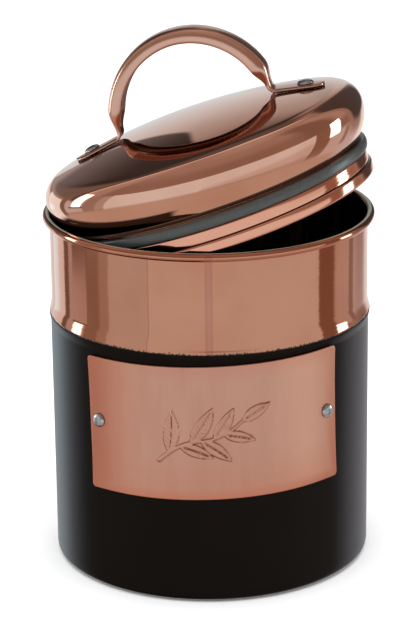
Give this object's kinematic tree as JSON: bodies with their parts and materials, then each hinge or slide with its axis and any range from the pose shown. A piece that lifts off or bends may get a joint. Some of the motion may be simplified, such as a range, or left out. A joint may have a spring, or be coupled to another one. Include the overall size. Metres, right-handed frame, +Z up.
{
  "type": "tea caddy",
  "caption": "Round sheet-metal tea caddy in satin black with a copper band, a riveted leaf plate and a domed lift-off lid with a strap handle.",
  "frame": {"origin": "centre of the canister's underside, where it rests", "axes": "+Z up the canister's axis, -Y out of the name plate, +X to the right when facing the plate"},
  "size_m": [0.117, 0.117, 0.1907],
  "materials": {
    "black_paint": "satin black stoved paint",
    "polished_copper": "polished rose copper plate",
    "satin_copper": "satin brushed rose copper",
    "base_metal": "dull pressed steel, lacquered dark inside",
    "rivet_steel": "domed rivet heads, lightly worn",
    "seal_rubber": "smooth dark grey silicone"
  },
  "bodies": {
    "canister": {"painted_body": "black_paint", "copper_collar": "polished_copper", "base_disc": "base_metal", "name_plate": "satin_copper", "plate_rivet_left": "rivet_steel", "plate_rivet_right": "rivet_steel"},
    "lid": {"lid_dome": "polished_copper", "plug_collar": "polished_copper", "plug_pan": "polished_copper", "lid_seal": "seal_rubber", "lid_handle": "polished_copper", "handle_rivet_left": "rivet_steel", "handle_rivet_right": "rivet_steel"}
  },
  "joints": [
    {"name": "lid_lift", "type": "slide", "parent": "canister", "child": "lid", "axis": [0, 0, 1], "range_m": [0, 0.065]}
  ]
}
